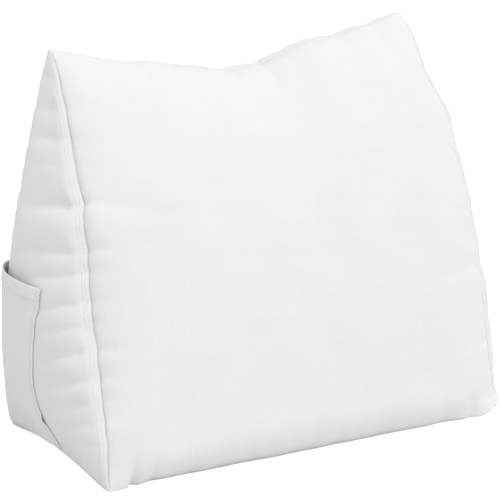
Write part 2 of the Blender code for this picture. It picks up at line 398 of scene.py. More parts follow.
    def end_forms(self, side: Panel, u: np.ndarray, v: np.ndarray, w: np.ndarray) -> np.ndarray:
        """Bowed seams and the drawn-up base seam near one end.

        Args:
            side: Panel.LEFT or Panel.RIGHT.
            u: shares of the width.
            v: shares of the depth.
            w: shares of the height.

        Returns:
            How far each point moves.
        """
        near = 1 - u if side is Panel.LEFT else u
        bow = self.left_bow if side is Panel.LEFT else self.right_bow
        y = -hump(w, bow.rise, bow.fall) * near**self.bow_reach * bow.forward
        if side is Panel.LEFT:
            y = y - smooth_curve(self.left_drift, w) * near**self.drift_power
        y = y * (1 - v) ** self.bow_reach
        from_end = (1 - near) * self.base_width
        z = self.end_lift * hump(v, self.end_lift_rise, self.end_lift_fall)
        z = z * fade(from_end, self.end_lift_reach) * (1 - w) ** self.end_lift_power
        return np.stack([np.zeros_like(y), y, z])

    def seam_puckers(self, side: Panel, u: np.ndarray, v: np.ndarray, w: np.ndarray) -> np.ndarray:
        """Creases that run across the two slanting seams of one end.

        Args:
            side: Panel.LEFT or Panel.RIGHT.
            u: shares of the width.
            v: shares of the depth.
            w: shares of the height.

        Returns:
            How far each point moves, always inward.
        """
        inward = 1 if side is Panel.LEFT else -1
        from_end = (u if side is Panel.LEFT else 1 - u) * self.base_width
        moved = np.zeros((3, len(u)))
        near_end, near_face = bell(from_end, self.end_band), ease(from_end, *self.face_ease)
        widen_above, widen_below = self.face_widening
        for backward, from_seam in ((1, v * self.end_depth(w)), (-1, (1 - v) * self.end_depth(w))):
            as_listed = side is Panel.LEFT and backward == 1
            near_seam = ease(from_seam, *self.seam_ease)
            for pucker in LEFT_FRONT_PUCKERS:
                place, drawn = pucker.share, pucker.depth
                if not as_listed:
                    place = self.other_seam_top - self.other_seam_stretch * pucker.share
                    drawn = pucker.depth * self.other_seam_depth
                reach = pucker.end_reach * (1.0 if backward == 1 else self.back_seam_reach)
                height = (w - place) * self.height + pucker.droop * from_seam
                crease = drawn * valley(height, pucker.above, pucker.below)
                across = bell(from_seam, reach) * near_end * near_seam
                moved[0] += inward * self.end_gain * crease * across
                height = (w - place) * self.height + self.face_droop * from_end
                crease = drawn * valley(height, widen_above * pucker.above, widen_below * pucker.below)
                across = bell(from_end, pucker.face_reach) * bell(from_seam, self.face_band) * near_face
                moved[1] += backward * self.face_gain * crease * across
        return moved

    def ridge_forms(self, u: np.ndarray, w: np.ndarray) -> np.ndarray:
        """The sag of the ridge and the soft folds across it.

        Args:
            u: shares of the width.
            w: shares of the height.

        Returns:
            How far each point moves.
        """
        moved = np.zeros((3, len(u)))
        moved[2] -= smooth_curve(self.ridge_sag, u) * w**self.sag_decay
        for fold in self.ridge_puckers:
            across = bell((u - fold.share) * self.base_width, fold.width)
            moved[2] -= fold.depth * across * bell((1 - w) * self.height, fold.reach)
        return moved

    def hem_forms(self, u: np.ndarray, v: np.ndarray, w: np.ndarray) -> np.ndarray:
        """The drawn-in lower front seam and the tucks at its two corners.

        Args:
            u: shares of the width.
            v: shares of the depth.
            w: shares of the height.

        Returns:
            How far each point moves.
        """
        near_front = fade(v * self.base_depth, self.hem_reach)
        moved = np.zeros((3, len(u)))
        rise = w * self.height
        rolled = np.maximum(1 - rise / self.hem_roll, 0) ** self.hem_roll_power
        rolled = rolled - self.hem_bulge * bell(rise - self.hem_bulge_height, self.hem_bulge_width)
        moved[1] += smooth_curve(self.front_hem, u) * near_front * rolled
        for fold in self.hem_folds + self.corner_tucks:
            across = bell((u - fold.share) * self.base_width, fold.width)
            moved[1] += fold.depth * across * bell(rise, fold.reach) * near_front
        return moved

    def right_forms(self, u: np.ndarray, v: np.ndarray, w: np.ndarray) -> np.ndarray:
        """The right end's gentle waves, its front seam far out on the bulge, and its rounded corner.

        Args:
            u: shares of the width.
            v: shares of the depth.
            w: shares of the height.

        Returns:
            How far each point moves.
        """
        moved = np.zeros((3, len(u)))
        from_end, rise = (1 - u) * self.base_width, w * self.height
        for share, shift, half_width in self.right_waves:
            moved[0] += shift * bell((w - share) * self.height, half_width) * u**self.right_wave_power
        near_seam = bell(v, self.right_seam_band) * bell(from_end, self.right_seam_reach)
        moved[0] += smooth_curve(self.right_seam, w) * near_seam
        near = fade(from_end, self.corner_reach) * fade(v * self.base_depth, self.corner_depth)
        out = self.corner_bulge * bell(rise - self.corner_bulge_height, self.corner_bulge_width)
        moved[0] += near * (out - self.corner_draw * fade(rise, self.corner_draw_reach))
        moved[2] += near * self.corner_lift * fade(rise, self.corner_lift_reach)
        return moved

    def surface(
        self, u: np.ndarray, v: np.ndarray, w: np.ndarray, puckered: bool = True
    ) -> np.ndarray:
        """Points of the filled cushion without its turned seams, with or without its puckers.

        Args:
            u: shares of the width.
            v: shares of the depth.
            w: shares of the height.
            puckered: whether its puckers are drawn in.

        Returns:
            The points, one row for each axis.
        """
        points = self.flat(u, v, w) + self.filling(u, v, w) + self.ridge_forms(u, w)
        points += self.hem_forms(u, v, w) + self.right_forms(u, v, w)
        for side in (Panel.LEFT, Panel.RIGHT):
            points += self.end_forms(side, u, v, w)
            if puckered:
                points += self.seam_puckers(side, u, v, w)
        return points + np.array(self.origin_shift)[:, None]

    def end_normals(
        self, side: Panel, v: np.ndarray, w: np.ndarray, puckered: bool = True
    ) -> np.ndarray:
        """Outward normals of an end panel at places on it.

        Args:
            side: Panel.LEFT or Panel.RIGHT.
            v: shares of the depth.
            w: shares of the height.
            puckered: whether its puckers are drawn in.

        Returns:
            The normals, one row for each axis.
        """
        u = np.full_like(w, 0.0 if side is Panel.LEFT else 1.0)
        after, before = np.minimum(v + SHARE_STEP, 1), np.maximum(v - SHARE_STEP, 0)
        back = self.surface(u, after, w, puckered) - self.surface(u, before, w, puckered)
        above, below = np.minimum(w + SHARE_STEP, 1), np.maximum(w - SHARE_STEP, 0)
        up = self.surface(u, v, above, puckered) - self.surface(u, v, below, puckered)
        outward = np.cross(up.T, back.T).T if side is Panel.LEFT else np.cross(back.T, up.T).T
        return outward / np.maximum(np.linalg.norm(outward, axis=0), TINY)


class Ruler:
    """Measures along the cloth of one panel, from the seam at share 0 of one axis towards share 1."""

    half_marks = 81
    crowding = 3
    halvings = 32

    def __init__(self, form: WedgeForm, panel: Panel, axis: int) -> None:
        """Lays the rule on the filled form, before any pucker.

        Args:
            form: the wedge.
            panel: the panel that is measured.
            axis: 0, 1 or 2 for u, v or w, along which the rule runs.
        """
        fixed = {Panel.LEFT: 0, Panel.RIGHT: 0, Panel.FRONT: 1, Panel.BACK: 1}[panel]
        half = 0.5 * np.linspace(0, 1, self.half_marks) ** self.crowding
        self.axis, self.other = axis, 3 - axis - fixed
        self.shares = np.concatenate([half, 1 - half[-2::-1]])
        place = [None, None, None]
        place[axis], place[self.other] = np.meshgrid(self.shares, self.shares)
        place[fixed] = np.full_like(place[axis], 1.0 if panel in (Panel.RIGHT, Panel.BACK) else 0.0)
        flat = [shares.ravel() for shares in place]
        points = (form.flat(*flat) + form.filling(*flat)).reshape(3, len(self.shares), -1)
        steps = np.linalg.norm(np.diff(points, axis=2), axis=0)
        start = np.zeros((len(self.shares), 1))
        self.table = np.concatenate([start, np.cumsum(steps, axis=1)], axis=1)

    def read(self, share: np.ndarray, row: np.ndarray) -> np.ndarray:
        """Distance from the seam at share 0, at a share of the other axis.

        Args:
            share: places along the rule.
            row: shares of the other axis.

        Returns:
            The distances, in metres.
        """
        last = len(self.shares) - 1
        across = np.interp(share, self.shares, np.arange(last + 1))
        down = np.interp(row, self.shares, np.arange(last + 1))
        i, j = np.minimum(down.astype(int), last - 1), np.minimum(across.astype(int), last - 1)
        s, t = down - i, across - j
        upper = self.table[i, j] * (1 - t) + self.table[i, j + 1] * t
        lower = self.table[i + 1, j] * (1 - t) + self.table[i + 1, j + 1] * t
        return upper * (1 - s) + lower * s

    def both(self, share: np.ndarray, row: np.ndarray) -> tuple[np.ndarray, np.ndarray]:
        """Distances from the seams at share 0 and at share 1."""
        low = self.read(share, row)
        return low, self.read(np.ones_like(share), row) - low

    def share_at(self, distance: np.ndarray, row: np.ndarray) -> np.ndarray:
        """The share at a distance from the seam at share 0.

        Args:
            distance: distances along the cloth, in metres.
            row: shares of the other axis.

        Returns:
            The shares.
        """
        low, high = np.zeros_like(row), np.ones_like(row)
        for _ in range(self.halvings):
            middle = (low + high) / 2
            short = self.read(middle, row) < distance
            low, high = np.where(short, middle, low), np.where(short, high, middle)
        return (low + high) / 2


WRINKLE_SEEDS = {
    Panel.LEFT: 11,
    Panel.RIGHT: 12,
    Panel.RIDGE: 31,
    Panel.FRONT: 41,
    Panel.BACK: 51,
}


@dataclass(frozen=True)
class Waves:
    """Low irregular waves on a filled panel: their height, middle length and number."""

    height: float
    length: float
    count: int


@dataclass
class Relief:
    """Small heights that stand on the smooth form: turned seams, grooves and fine wrinkles."""

    form: WedgeForm
    stitch_rows: tuple[float, float] = (0.0055, 0.0090)
    groove_depth: float = 0.0005
    groove_width: float = 0.0004
    right_groove: float = 0.35
    stitch_dent: float = 0.00045
    dent_width: float = 0.0008
    welt_height: float = 0.0011
    profile: tuple[tuple[float, float], ...] = (
        (0.0000, 0.00),
        (0.0006, 0.75),
        (0.0013, 1.00),
        (0.0026, 0.80),
        (0.0050, 0.55),
        (0.0090, 0.50),
        (0.0108, 0.15),
        (0.0130, 0.00),
    )
    wrinkle_count: int = 70
    wrinkle_slant: float = 0.30
    wrinkle_depth: tuple[float, float] = (0.00010, 0.00050)
    wrinkle_width: tuple[float, float] = (0.0028, 0.0070)
    wrinkle_reach: tuple[float, float] = (0.010, 0.035)
    base_wrinkles: float = 0.6
    ridge_wrinkles: float = 0.5
    end_calm: float = 0.03
    face_calm: float = 0.06
    base_allowance: float = 0.03
    end_waves: Waves = Waves(0.0005, 0.060, 7)
    face_waves: tuple[Waves, ...] = (Waves(0.0012, 0.110, 7), Waves(0.0003, 0.040, 9))
    rulers: dict[tuple[Panel, int], Ruler] = field(default_factory=dict)

    def __post_init__(self) -> None:
        """Lays a rule both ways on each of the four standing panels."""
        axes = {Panel.LEFT: (1, 2), Panel.RIGHT: (1, 2), Panel.FRONT: (0, 2), Panel.BACK: (0, 2)}
        for panel, pair in axes.items():
            for axis in pair:
                self.rulers[panel, axis] = Ruler(self.form, panel, axis)

    def rim_distances(self, side: Panel, v: np.ndarray, w: np.ndarray) -> tuple[np.ndarray, ...]:
        """Distances on an end panel from its front, back and base seams, along the cloth."""
        front, back = self.rulers[side, 1].both(v, w)
        return front, back, self.rulers[side, 2].read(w, v)

    def welt(self, side: Panel, v: np.ndarray, w: np.ndarray) -> np.ndarray:
        """Height of the turned seam on an end panel, dented along its two rows of stitches.

        Args:
            side: Panel.LEFT or Panel.RIGHT.
            v: shares of the depth.
            w: shares of the height.

        Returns:
            The heights.
        """
        inside = np.minimum.reduce(self.rim_distances(side, v, w))
        places, heights = np.array(self.profile).T
        height = self.welt_height * np.interp(inside, places, heights)
        for row in self.stitch_rows:
            height = height - self.stitch_dent * bell(inside - row, self.dent_width)
        return height

    def wrinkles(self, seed: int, along: np.ndarray, away: np.ndarray, length: float) -> np.ndarray:
        """Fine short creases that cross a seam.

        Args:
            seed: picks the set of creases.
            along: distance along the seam.
            away: distance from the seam.
            length: how long the seam is.

        Returns:
            A depth at each point.
        """
        picks = np.random.default_rng(seed)
        total = np.zeros_like(along)
        for _ in range(self.wrinkle_count):
            place = picks.uniform(0, length)
            slant = picks.uniform(-self.wrinkle_slant, self.wrinkle_slant)
            depth, width = picks.uniform(*self.wrinkle_depth), picks.uniform(*self.wrinkle_width)
            reach = picks.uniform(*self.wrinkle_reach)
            total += depth * bell(along - place - slant * away, width) * bell(away, reach)
        return total

    def end_height(self, side: Panel, v: np.ndarray, w: np.ndarray) -> np.ndarray:
        """Height of the relief on an end panel.

        Args:
            side: Panel.LEFT or Panel.RIGHT.
            v: shares of the depth.
            w: shares of the height.

        Returns:
            The heights.
        """
        seed, waves = WRINKLE_SEEDS[side], self.end_waves
        front, back, base = self.rim_distances(side, v, w)
        rise = w * self.form.height
        height = self.welt(side, v, w)
        height -= self.wrinkles(seed, rise, front, self.form.height)
        height -= self.wrinkles(seed + 10, rise, back, self.form.height)
        inside = np.minimum.reduce([front, back, base])
        calm = np.clip(inside / self.end_calm, 0, 1)
        where = np.stack([front, rise])
        height += calm * waves.height * rolling(where, seed + 20, waves.length, waves.count)
        groove = self.groove_depth * (1.0 if side is Panel.LEFT else self.right_groove)
        return height - groove * bell(inside, self.groove_width)

    def face_height(self, panel: Panel, u: np.ndarray, w: np.ndarray) -> np.ndarray:
        """Height of the relief on the front or back panel.

        Args:
            panel: Panel.FRONT or Panel.BACK.
            u: shares of the width.
            w: shares of the height.

        Returns:
            The heights.
        """
        seed = WRINKLE_SEEDS[panel]
        left, right = self.rulers[panel, 0].both(u, w)
        base, ridge = self.rulers[panel, 2].both(w, u)
        rise, across = w * self.form.height, u * self.form.base_width
        height = -self.wrinkles(seed, rise, left, self.form.height)
        height -= self.wrinkles(seed + 1, rise, right, self.form.height)
        height -= self.wrinkles(seed + 2, across, ridge, self.form.base_width)
        height -= self.base_wrinkles * self.wrinkles(seed + 5, across, base, self.form.base_width)
        inside = np.minimum.reduce([left, right, ridge, base + self.base_allowance])
        calm = np.clip(inside / self.face_calm, 0, 1)
        where = np.stack([across, rise])
        for number, waves in enumerate(self.face_waves, seed + 3):
            height += calm * waves.height * rolling(where, number, waves.length, waves.count)
        groove = self.groove_depth * np.where(right < left, self.right_groove, 1.0)
        return height - groove * bell(np.minimum.reduce([left, right, ridge]), self.groove_width)

    def height(self, panel: Panel, u: np.ndarray, v: np.ndarray, w: np.ndarray) -> np.ndarray:
        """Height of the relief on one panel.

        Args:
            panel: the panel that the places are on.
            u: shares of the width.
            v: shares of the depth.
            w: shares of the height.

        Returns:
            The height along the outward normal at each place.
        """
        if panel in (Panel.LEFT, Panel.RIGHT):
            return self.end_height(panel, v, w)
        if panel in (Panel.FRONT, Panel.BACK):
            return self.face_height(panel, u, w)
        from_end = np.minimum(u, 1 - u) * self.form.base_width
        height = -self.groove_depth * bell(from_end, self.groove_width)
        if panel is Panel.RIDGE:
            seed, across = WRINKLE_SEEDS[panel], u * self.form.base_width
            height -= self.ridge_wrinkles * self.wrinkles(seed, across, 0 * u, self.form.base_width)
        return height


@dataclass
class LatticeBlock:
    """A closed block of six grids whose points lie at set stations along three axes."""

    across: list[float]
    deep: list[float]
    tall: list[float]

    def axes(self, panel: Panel) -> tuple[list[float], list[float], int, float]:
        """Tells how a panel lies in the block.

        Args:
            panel: one of the six.

        Returns:
            Its two lists of stations, its fixed axis, and its place on that axis.
        """
        return {
            Panel.LEFT: (self.deep, self.tall, 0, 0.0),
            Panel.RIGHT: (self.deep, self.tall, 0, 1.0),
            Panel.FRONT: (self.across, self.tall, 1, 0.0),
            Panel.BACK: (self.across, self.tall, 1, 1.0),
            Panel.BASE: (self.across, self.deep, 2, 0.0),
            Panel.RIDGE: (self.across, self.deep, 2, 1.0),
        }[panel]

    def build(self) -> tuple[bmesh.types.BMesh, dict[Panel, int]]:
        """Cuts the six grids and welds them.

        Returns:
            The block in shares of 0 to 1, with each panel's number in the face layer named panel.
        """
        block = bmesh.new()
        layer = block.faces.layers.int.new("panel")
        numbers = {panel: number for number, panel in enumerate(Panel)}
        for panel, number in numbers.items():
            first, second, axis, place = self.axes(panel)
            made = bmesh.ops.create_grid(
                block, x_segments=len(first) - 1, y_segments=len(second) - 1, size=0.5
            )["verts"]
            for vert in made:
                one = first[round((vert.co.x + 0.5) * (len(first) - 1))]
                two = second[round((vert.co.y + 0.5) * (len(second) - 1))]
                pair = [one, two]
                pair.insert(axis, place)
                vert.co = pair
            for face in {face for vert in made for face in vert.link_faces}:
                face[layer] = number
        bmesh.ops.remove_doubles(block, verts=block.verts, dist=WELD_DISTANCE)
        bmesh.ops.recalc_face_normals(block, faces=block.faces)
        return block, numbers


def places_of(block: bmesh.types.BMesh) -> np.ndarray:
    """The places of a mesh's points, one row for each axis."""
    return np.array([vert.co for vert in block.verts], float).T


def move_points(block: bmesh.types.BMesh, points: np.ndarray) -> None:
    """Moves each point of a mesh to its new place, one row for each axis."""
    for vert, point in zip(block.verts, points.T):
        vert.co = point


def stations(edge: tuple[float, ...], length: float, step: float) -> list[float]:
    """Shares of a length: fine ones at both ends and even ones between them.

    Args:
        edge: distances from each end that get a station, starting with 0.
        length: the whole length.
        step: the even distance in the middle.

    Returns:
        The shares in rising order.
    """
    rim = [place / length for place in edge]
    count = max(2, round((1 - 2 * rim[-1]) * length / step))
    middle = list(np.linspace(rim[-1], 1 - rim[-1], count + 1))
    return rim[:-1] + middle + [1 - place for place in reversed(rim[:-1])]


@dataclass(frozen=True)
class WovenCotton:
    """Off-white plain-woven cotton with uneven yarns."""

    colour: tuple[float, float, float, float] = (0.80, 0.805, 0.795, 1.0)
    yarn: float = 0.00095
    roughness: float = 0.92
    sheen: float = 0.12
    sheen_roughness: float = 0.5
    specular: float = 0.2
    slub_contrast: float = 0.07
    cloud_contrast: float = 0.03
    weave_contrast: float = 0.004
    slub_scale: tuple[float, float] = (900.0, 28.0)
    bar_scale: tuple[float, float] = (330.0, 60.0)
    cloud_scale: float = 22.0
    wander_scale: float = 35.0
    wander: float = 1.6
    noise_roughness: float = 0.55
    weave_bump: float = 0.10
    slub_bump: float = 0.9
    bump_strength: float = 0.35
    bump_distance: float = 0.0004

    def material(self, name: str) -> bpy.types.Material:
        """Makes the cloth, which follows the piece's own UV map in metres.

        Args:
            name: the material's name.

        Returns:
            The material.
        """
        made = bpy.data.materials.new(name)
        made.use_nodes = True
        tree = made.node_tree
        nodes, links = tree.nodes, tree.links
        shader = nodes["Principled BSDF"]
        shader.inputs["Roughness"].default_value = self.roughness
        shader.inputs["Sheen Weight"].default_value = self.sheen
        shader.inputs["Sheen Roughness"].default_value = self.sheen_roughness
        shader.inputs["Specular IOR Level"].default_value = self.specular
        uv = nodes.new("ShaderNodeUVMap")
        uv.uv_map = "cloth"
        parts = nodes.new("ShaderNodeSeparateXYZ")
        links.new(uv.outputs["UV"], parts.inputs[0])

        def maths(kind: str, first: object, second: object = 0.0) -> bpy.types.NodeSocket:
            """One Math node on sockets or numbers.

            Args:
                kind: the operation.
                first: its first socket or number.
                second: its second one.

            Returns:
                The result's socket.
            """
            node = nodes.new("ShaderNodeMath")
            node.operation = kind
            for slot, value in zip(node.inputs, (first, second)):
                if isinstance(value, bpy.types.NodeSocket):
                    links.new(value, slot)
                else:
                    slot.default_value = value
            return node.outputs[0]

        def noise(across: float, along: float, detail: float = 2.0) -> bpy.types.NodeSocket:
            """Noise on the cloth's own map.

            Args:
                across: its scale along the map's first axis.
                along: its scale along the second.
                detail: how many finer layers it has.

            Returns:
                The noise's socket.
            """
            mapping = nodes.new("ShaderNodeMapping")
            mapping.inputs["Scale"].default_value = (across, along, 1.0)
            links.new(uv.outputs["UV"], mapping.inputs["Vector"])
            texture = nodes.new("ShaderNodeTexNoise")
            texture.inputs["Scale"].default_value = 1.0
            texture.inputs["Detail"].default_value = detail
            texture.inputs["Roughness"].default_value = self.noise_roughness
            links.new(mapping.outputs[0], texture.inputs["Vector"])
            return texture.outputs["Fac"]

        drift = noise(self.wander_scale, self.wander_scale)
        wander = maths("MULTIPLY", maths("SUBTRACT", drift, 0.5), self.wander)
        turn = math.pi / self.yarn
        warp = maths("SINE", maths("ADD", maths("MULTIPLY", parts.outputs["X"], turn), wander))
        weft = maths("SINE", maths("ADD", maths("MULTIPLY", parts.outputs["Y"], turn), wander))
        weave = maths("MULTIPLY", warp, weft)
        slubs = maths("ADD", noise(*self.slub_scale), noise(*self.slub_scale[::-1]))
        bars = maths("ADD", noise(*self.bar_scale), noise(*self.bar_scale[::-1]))
        slubs = maths("MULTIPLY", maths("ADD", slubs, bars), 0.5)
        cloud = noise(self.cloud_scale, self.cloud_scale, 3.0)
        shade = maths("ADD", maths("MULTIPLY", slubs, self.slub_contrast), 1.0 - self.slub_contrast)
        cloud = maths("MULTIPLY", maths("SUBTRACT", cloud, 0.5), self.cloud_contrast)
        shade = maths("ADD", shade, cloud)
        shade = maths("ADD", shade, maths("MULTIPLY", weave, self.weave_contrast))
        tint = nodes.new("ShaderNodeMix")
        tint.data_type = "RGBA"
        tint.blend_type = "MULTIPLY"
        tint.inputs["Factor"].default_value = 1.0
        tint.inputs["A"].default_value = self.colour
        links.new(shade, tint.inputs["B"])
        links.new(tint.outputs["Result"], shader.inputs["Base Color"])
        weave_height = maths("MULTIPLY", weave, self.weave_bump)
        bump_height = maths("ADD", weave_height, maths("MULTIPLY", slubs, self.slub_bump))
        bump = nodes.new("ShaderNodeBump")
        bump.inputs["Strength"].default_value = self.bump_strength
        bump.inputs["Distance"].default_value = self.bump_distance
        links.new(bump_height, bump.inputs["Height"])
        links.new(bump.outputs["Normal"], shader.inputs["Normal"])
        return made


@dataclass(frozen=True)
class SewingThread:
    """White polyester thread of the top stitching."""

    colour: tuple[float, float, float, float] = (0.78, 0.785, 0.775, 1.0)
    roughness: float = 0.6
    grain_scale: float = 1800.0
    darkest: float = 0.85

    def material(self, name: str) -> bpy.types.Material:
        """Makes the thread, with a faint twist along each stitch.

        Args:
            name: the material's name.

        Returns:
            The material.
        """
        made = bpy.data.materials.new(name)
        made.use_nodes = True
        nodes, links = made.node_tree.nodes, made.node_tree.links
        shader = nodes["Principled BSDF"]
        shader.inputs["Roughness"].default_value = self.roughness
        place = nodes.new("ShaderNodeTexCoord")
        grain = nodes.new("ShaderNodeTexNoise")
        grain.inputs["Scale"].default_value = self.grain_scale
        links.new(place.outputs["Object"], grain.inputs["Vector"])
        ramp = nodes.new("ShaderNodeValToRGB")
        dark = tuple(part * self.darkest for part in self.colour[:3])
        ramp.color_ramp.elements[0].color = dark + (1.0,)
        ramp.color_ramp.elements[1].color = self.colour
        links.new(grain.outputs["Fac"], ramp.inputs["Fac"])
        links.new(ramp.outputs["Color"], shader.inputs["Base Color"])
        return made


def finish_piece(
    name: str, mesh: bmesh.types.BMesh, material: bpy.types.Material, body: str = "root"
) -> bpy.types.Object:
    """Links a smooth-shaded piece made from a bmesh, and lets it ride on a body.

    Args:
        name: the piece's name.
        mesh: its shape, in place.
        material: its finish.
        body: the body that it moves with.

    Returns:
        The object.
    """
    data = bpy.data.meshes.new(name)
    mesh.to_mesh(data)
    mesh.free()
    data.materials.append(material)
    data.shade_smooth()
    made = bpy.data.objects.new(name, data)
    bpy.context.scene.collection.objects.link(made)
    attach(made, body)
    return made


@dataclass
class CushionCover:
    """The filled cover of the wedge: six panels welded along their seams."""

    form: WedgeForm
    relief: Relief
    cloth: WovenCotton
    rim: tuple[float, ...] = (0.0, 0.0004, 0.0009, 0.0015, 0.0025, 0.0040, 0.0060, 0.0090, 0.0130)
    end_rim: tuple[float, ...] = (
        0.0, 0.0004, 0.0008, 0.0014, 0.0022, 0.0034, 0.0046, 0.0055, 0.0064,
        0.0072, 0.0081, 0.0090, 0.0099, 0.0110, 0.0130, 0.0160, 0.0200,
    )
    step: float = 0.0040
    height_step: float = 0.75
    depth_cells: int = 55
    band: float = 0.2
    widest_rim: float = 0.6
    panel_shift: float = 0.7
    front_stretch: float = 1.08
    back_stretch: float = 1.01
    fill: float = 0.8

    def depth_share(self, b: np.ndarray, w: np.ndarray) -> np.ndarray:
        """Turns a lattice place into v: its first and last fifths span the turned seams at any height.

        Args:
            b: places on the lattice, 0 at the front and 1 at the back.
            w: shares of the height.

        Returns:
            The shares of the depth.
        """
        ruler = self.relief.rulers[Panel.LEFT, 1]
        half = ruler.read(np.full_like(w, 0.5), w)
        rim = np.minimum(self.end_rim[-1], self.widest_rim * half)
        from_edge = np.minimum(b, 1 - b)
        in_rim = ruler.share_at(rim * np.minimum(from_edge / self.band, 1), w)
        edge = ruler.share_at(rim, w)
        inner = edge + (0.5 - edge) * (from_edge - self.band) / (0.5 - self.band)
        share = np.where(from_edge < self.band, in_rim, inner)
        return np.where(b <= 0.5, share, 1 - share)

    def axis_stations(
        self, axis: int, low: tuple[float, ...], high: tuple[float, ...]
    ) -> list[float]:
        """Shares of the width or height, at given distances along the front panel from its seams.

        Args:
            axis: 0 for the width or 2 for the height.
            low: distances from the seam at share 0, starting with 0.
            high: distances from the seam at share 1, starting with 0.

        Returns:
            The shares in rising order.
        """
        ruler = self.relief.rulers[Panel.FRONT, axis]
        middle = np.full(1, 0.5)
        whole = float(ruler.read(np.ones(1), middle)[0])
        far = [whole - place for place in reversed(high)]
        first, last = (
            [float(ruler.share_at(np.array([place]), middle)[0]) for place in rim] for rim in (low, far)
        )
        first[0], last[-1] = 0.0, 1.0
        length, step = self.form.base_width, self.step
        if axis == 2:
            length, step = self.form.height, self.height_step * self.step
        count = round((last[0] - first[-1]) * length / step)
        return first[:-1] + list(np.linspace(first[-1], last[0], count + 1)) + last[1:]

    def block(self) -> LatticeBlock:
        """Sets out the lattice, finest beside the seams.

        Returns:
            The lattice.
        """
        deep_rim = [self.band * place / self.end_rim[-1] for place in self.end_rim]
        middle = list(np.linspace(self.band, 1 - self.band, self.depth_cells + 1))
        deep = deep_rim[:-1] + middle + [1 - place for place in reversed(deep_rim[:-1])]
        across = self.axis_stations(0, self.rim, self.rim)
        tall = self.axis_stations(2, self.end_rim, self.rim)
        return LatticeBlock(across, deep, tall)

    def unwrap(
        self, block: bmesh.types.BMesh, numbers: dict[Panel, int], flat: np.ndarray
    ) -> None:
        """Lays each panel flat in the map named cloth, in metres.

        Args:
            block: the cover's mesh.
            numbers: each panel's number in the face layer named panel.
            flat: the points of the sewn wedge before filling.
        """
        cloth = block.loops.layers.uv.new("cloth")
        layer = block.faces.layers.int["panel"]
        names = {number: panel for panel, number in numbers.items()}
        for face in block.faces:
            panel = names[face[layer]]
            shift = self.panel_shift * face[layer]
            for loop in face.loops:
                x, y, z = flat[:, loop.vert.index]
                pair = {
                    Panel.LEFT: (y, z),
                    Panel.RIGHT: (y, z),
                    Panel.FRONT: (x, z * self.front_stretch),
                    Panel.BACK: (x, z * self.back_stretch),
                    Panel.BASE: (x, y),
                    Panel.RIDGE: (x, y),
                }[panel]
                loop[cloth].uv = (pair[0] + shift, pair[1])

    def build(self) -> bpy.types.Object:
        """Returns:
            The cover.
        """
        block, numbers = self.block().build()
        block.verts.index_update()
        u, b, w = places_of(block)
        v = self.depth_share(b, w)
        self.unwrap(block, numbers, self.form.flat(u, v, w))
        move_points(block, self.form.surface(u, v, w))
        block.normal_update()
        normals = np.array([vert.normal for vert in block.verts], float).T
        heights = np.full(len(u), np.inf)
        masks = {
            Panel.LEFT: u == 0,
            Panel.RIGHT: u == 1,
            Panel.FRONT: b == 0,
            Panel.BACK: b == 1,
            Panel.BASE: w == 0,
            Panel.RIDGE: w == 1,
        }
        for panel, on in masks.items():
            own = self.relief.height(panel, u[on], v[on], w[on])
            heights[on] = np.minimum(heights[on], own)
        points = places_of(block) + normals * heights
        points[2] = np.maximum(points[2], 0.0)
        move_points(block, points)
        piece = finish_piece("cover", block, self.cloth.material("woven_cotton"))
        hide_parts("cushion")
        return piece


@dataclass(frozen=True)
class Stitch:
    """One stitch: the distance to the next, its length, its thread's radius and how far it stands out."""

    pitch: float = 0.0034
    length: float = 0.0027
    radius: float = 0.00033
    proud: float = 0.35

    def sew(self, thread: bmesh.types.BMesh, near: np.ndarray, normal: np.ndarray) -> None:
        """Adds one stitch, a short rounded grain half sunk in the cloth.

        Args:
            thread: the mesh that it joins.
            near: the points before, at and after the stitch, one column for each.
            normal: the outward normal at the stitch.
        """
        along = Vector(near[:, 2] - near[:, 0]).normalized()
        aside = along.cross(Vector(normal)).normalized()
        up = aside.cross(along).normalized()
        turn = Matrix((along, aside, up)).transposed().to_4x4()
        size = Matrix.Diagonal((self.length / 2, self.radius, self.radius, 1.0))
        place = Matrix.Translation(Vector(near[:, 1]) + up * self.radius * self.proud)
        bmesh.ops.create_icosphere(thread, subdivisions=1, radius=1.0, matrix=place @ turn @ size)

    def sew_row(
        self, thread: bmesh.types.BMesh, line: np.ndarray, normals: np.ndarray, margin: float
    ) -> None:
        """Sews a row of stitches at even distances.

        Args:
            thread: the mesh that they join.
            line: points along the row, one column for each.
            normals: the outward normals there.
            margin: how far from the row's ends the stitches stay.
        """
        run = np.concatenate([[0.0], np.cumsum(np.linalg.norm(np.diff(line), axis=0))])
        wanted = np.arange(margin, run[-1] - margin, self.pitch / 2)
        at = np.stack([np.interp(wanted, run, axis) for axis in line])
        up = np.stack([np.interp(wanted, run, axis) for axis in normals])
        for k in range(1, at.shape[1] - 1, 2):
            self.sew(thread, at[:, k - 1 : k + 2], up[:, k])


